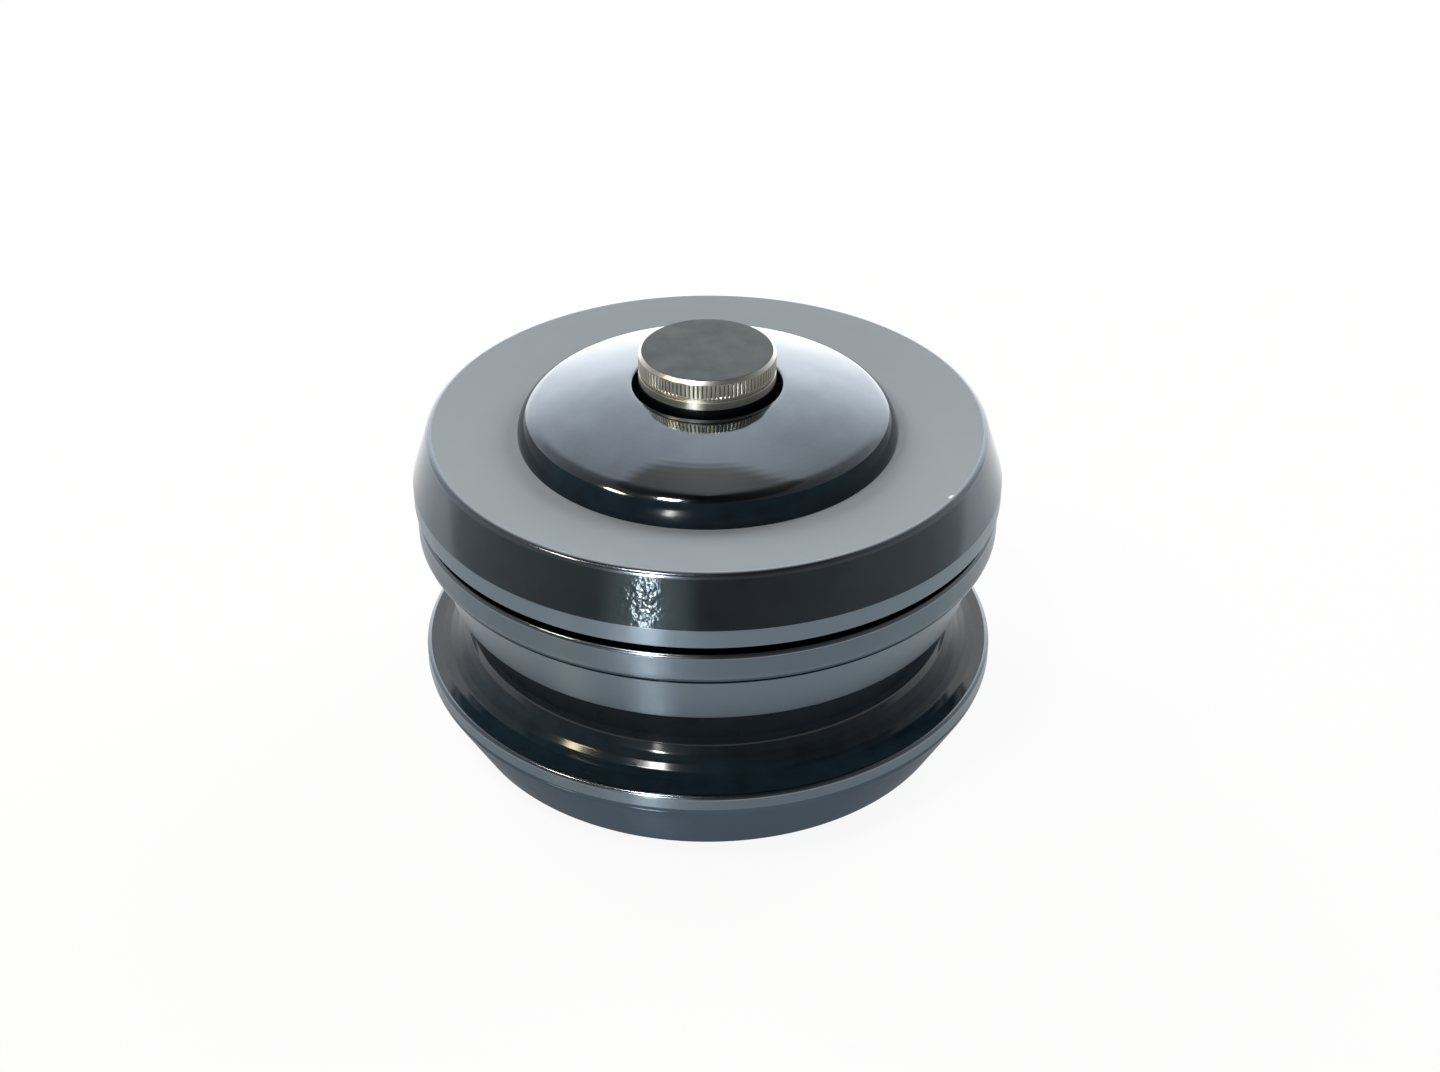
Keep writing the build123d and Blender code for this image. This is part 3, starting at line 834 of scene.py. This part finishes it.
ground_steel = plain_finish("ground_steel", (0.72, 0.73, 0.75), (0.66, 0.67, 0.69),
                            1.0, 0.14, 0.5, 9.0, 0.0006)
turned_alloy = plain_finish("turned_alloy", (0.80, 0.81, 0.82), (0.72, 0.73, 0.74),
                            1.0, 0.30, 0.6, 5.0, 0.0020)
zinc_plate = plain_finish("zinc_plate", (0.66, 0.67, 0.64), (0.55, 0.57, 0.58),
                          1.0, 0.36, 1.6, 0, 0.0020)
matt_rubber = plain_finish("matt_rubber", (0.035, 0.035, 0.036), (0.024, 0.024, 0.025),
                           0.0, 0.72, 1.2, 0, 0.0060)
moulded_nylon = plain_finish("moulded_nylon", (0.80, 0.76, 0.66), (0.74, 0.69, 0.58),
                             0.0, 0.48, 0.8, 0, 0.0050)
print("mixed", ", ".join(finish.name for finish in (
    ground_steel, turned_alloy, zinc_plate, matt_rubber, moulded_nylon)))

# %% Give each solid its finish
FINISH_OF_NODE = {"compression_ring": turned_alloy, "crown_race": polished_black}
FINISH_OF_WORD = {
    "cage": moulded_nylon, "seal": matt_rubber, "wiper": matt_rubber, "o_ring": matt_rubber,
    "race": ground_steel, "balls": ground_steel, "star_nut": zinc_plate, "bolt": bolt_side}


def finish_of(name):
    """The finish of a solid, from its name or the first word in the list that the name holds."""
    if name in FINISH_OF_NODE:
        return FINISH_OF_NODE[name]
    for word, finish in FINISH_OF_WORD.items():
        if word in name:
            return finish
    return polished_black


for name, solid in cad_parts.items():
    for place in solid.material_slots:
        place.material = finish_of(name)
print("gave finishes to", len(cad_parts), "solids")

# %% [markdown]
# ## The table
# The headset stands on a white table. Enough light to make paper render white would wash out the
# black parts, so the table shines a little by itself: the camera and the metal both see it as
# white, with only a breath of shadow. A little gloss on it mirrors the lamps into the metal. The
# floor round the table is the same to the camera, and the metal doesn't see it.

# %% Lay the table
TABLE_RADIUS, FLOOR_RADIUS, TABLE_SEGMENTS = 0.14, 2.0, 96
WHITE = (1, 1, 1, 1)
PAPER = (0.9, 0.9, 0.9, 1)
OWN_SHINE, TABLE_GLOSS, TABLE_ROUGHNESS = 0.92, 0.07, 0.06


def mirrored_ray(finish, ray):
    """One for a ray that comes from a mirror or through glass, and zero for others."""
    return sums(finish, "MAXIMUM", ray["Is Glossy Ray"], ray["Is Transmission Ray"])


def white_table():
    """White to the camera and the metal, with a breath of shadow and a little gloss."""
    finish = bpy.data.materials.new("white_table")
    finish.use_nodes = True
    finish.node_tree.nodes.clear()
    ray = node_in(finish, "LightPath").outputs
    seen = sums(finish, "MAXIMUM", ray["Is Camera Ray"], mirrored_ray(finish, ray))
    shine = node_in(finish, "Emission", Color=WHITE, Strength=1.0).outputs[0]
    paper = node_in(finish, "BsdfDiffuse", Color=PAPER).outputs[0]
    share = sums(finish, "MULTIPLY", seen, OWN_SHINE)
    sheet = node_in(finish, "MixShader", i0=share, i1=paper, i2=shine).outputs[0]
    gloss = node_in(finish, "BsdfGlossy", Color=WHITE, Roughness=TABLE_ROUGHNESS).outputs[0]
    weight = sums(finish, "MULTIPLY", ray["Is Glossy Ray"], TABLE_GLOSS)
    top = node_in(finish, "MixShader", i0=weight, i1=sheet, i2=gloss).outputs[0]
    node_in(finish, "OutputMaterial", Surface=top)
    return finish


table_finishes = {"sheet": white_table()}
bm = bmesh.new()
bmesh.ops.create_circle(bm, cap_ends=True, segments=TABLE_SEGMENTS, radius=TABLE_RADIUS)
table = finish_piece(bm, "table", table_finishes)
bm = bmesh.new()
for radius in (TABLE_RADIUS, FLOOR_RADIUS):
    bmesh.ops.create_circle(bm, segments=TABLE_SEGMENTS, radius=radius)
bmesh.ops.bridge_loops(bm, edges=bm.edges[:])
floor = finish_piece(bm, "floor", table_finishes)
floor.visible_glossy = False
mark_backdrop(table, floor)

# %% [markdown]
# ## The room
# Metal shows its surroundings. A picture of a studio could surround it, but a few ramps do: by
# height the room goes from a bright backdrop low behind the table to a brown ceiling, and by
# compass from that backdrop to a dim front, with a glow round the window. Only mirrored rays see
# this room. Matt surfaces get a plain soft fill, and the camera sees white.

# %% Paint what the metal sees
room = bpy.data.worlds.new("room")
room.use_nodes = True
room.node_tree.nodes.clear()
scene.world = room
CEILING = (0.185, 0.166, 0.146)
HEIGHT_STOPS = (
    (0.0, 1.0), (0.34, 1.0), (0.50, 0.76), (0.64, 0.58), (0.76, 0.49), (0.87, 0.44),
    (0.895, CEILING), (0.97, times(CEILING, 0.8)), (1.0, times(CEILING, 0.7)))
COMPASS_STOPS = (
    (0.0, 0.045), (0.36, 0.095), (0.62, 0.16), (0.82, 0.28), (0.94, 0.72), (1.0, 1.0))
WAVES, WAVE_RISE = 2.2, 0.16
WINDOW_WAY, WINDOW_GLOW = (-0.363, -0.927, 0.09), (0.115, 0.130, 0.118)
way = node_in(room, "TexCoord").outputs["Generated"]
sides = node_in(room, "SeparateXYZ", Vector=way).outputs
level = node_in(room, "CombineXYZ", X=sides["X"], Y=sides["Y"]).outputs[0]
compass = vectors(room, "NORMALIZE", level)
backward = node_in(room, "SeparateXYZ", Vector=compass).outputs["Y"]
wave = sums(room, "MULTIPLY_ADD", clouds(room, way, WAVES, 1.0), WAVE_RISE, -WAVE_RISE / 2)
by_height = ramp(room, sums(room, "ADD", sides["Z"], wave), *HEIGHT_STOPS)
by_compass = ramp(room, sums(room, "MULTIPLY_ADD", backward, 0.5, 0.5), *COMPASS_STOPS)
walls = node_in(room, "MixRGB", {"blend_type": "MULTIPLY"}, Fac=1.0, Color1=by_height,
                Color2=by_compass).outputs[0]
near_window = vectors(room, "DOT_PRODUCT", way, WINDOW_WAY, out="Value")
glow = ramp(room, near_window, (0.945, 0.0), (0.998, WINDOW_GLOW))
view = node_in(room, "MixRGB", {"blend_type": "ADD"}, Fac=1.0, Color1=walls,
               Color2=glow).outputs[0]
print("the room has", len(HEIGHT_STOPS), "tones by height and", len(COMPASS_STOPS), "by compass")

# %% Share the room out among the rays
BRIGHTEST, FILL_STRENGTH = 3.0, 0.20
FILL = (0.96, 0.98, 1.0, 1)
backdrop = node_in(room, "Background", Color=view, Strength=BRIGHTEST).outputs[0]
soft_fill = node_in(room, "Background", Color=FILL, Strength=FILL_STRENGTH).outputs[0]
white = node_in(room, "Background", Color=WHITE, Strength=1.0).outputs[0]
ray = node_in(room, "LightPath").outputs
lit = node_in(room, "MixShader", i0=mirrored_ray(room, ray), i1=soft_fill, i2=backdrop).outputs[0]
shown = node_in(room, "MixShader", i0=ray["Is Camera Ray"], i1=lit, i2=white).outputs[0]
node_in(room, "OutputWorld", Surface=shown)
print("the room is made of", len(room.node_tree.nodes), "nodes")

# %% [markdown]
# ## The lamps
# Each lamp draws something. A low window and a skylight over it draw the upright streak, a desk
# lamp and a warm lamp draw the highlights on the edges, and two keys light the top from behind. One
# big softbox would be simpler, but on a polished lathe part it gives one broad streak and no
# sparks. With the fill, the lamps light matt surfaces at a level at which a colour renders about as
# it is written. The metal doesn't mirror the keys, and the skylight lights no matt surface.

# %% Hang the lamps
LAMP_AIM = Vector((0, 0, 0.02))
WARM = (1.0, 0.84, 0.55)


def softbox(name, place, size, radiance, colour=(1, 1, 1), mirrored=True, lights_matt=True):
    """A flat lamp, its place and size in metres. The camera doesn't see it."""
    width, height = size
    lamp = bpy.data.lights.new(name, "AREA")
    lamp.shape = "RECTANGLE"
    lamp.size, lamp.size_y = size
    lamp.energy = radiance * math.pi * width * height
    lamp.color = colour
    box = bpy.data.objects.new(name, lamp)
    box.location = place
    box.rotation_euler = (LAMP_AIM - Vector(place)).to_track_quat("-Z", "Y").to_euler()
    box.visible_camera = False
    box.visible_glossy = mirrored
    box.visible_diffuse = lights_matt
    scene.collection.objects.link(box)
    print(name, "gives", round(lamp.energy, 2), "W")


softbox("window", (-0.215, -0.560, 0.090), (0.030, 0.17), 9.0)
softbox("skylight", (-0.215, -0.560, 0.225), (0.042, 0.22), 85.0, lights_matt=False)
softbox("desk_lamp", (-0.149, -0.205, 0.544), (0.075, 0.060), 75.0)
softbox("warm_lamp", (-0.362, -0.132, 0.46), (0.10, 0.045), 36.0, WARM)
softbox("left_key", (-0.42, 0.47, 0.39), (0.35, 0.35), 7.5, mirrored=False)
softbox("right_key", (0.46, 0.43, 0.39), (0.35, 0.35), 7.5, mirrored=False)

# %% [markdown]
# ## The size
# The dressed headset has to keep the size of its solids. A look at the render can't prove that, so
# the box of the dressed headset is measured and printed.

# %% Measure the dressed headset
dressed_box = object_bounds()
dressed_size = [round(1000 * side, 2) for side in dressed_box[1] - dressed_box[0]]
print("the dressed headset measures", dressed_size, "mm")
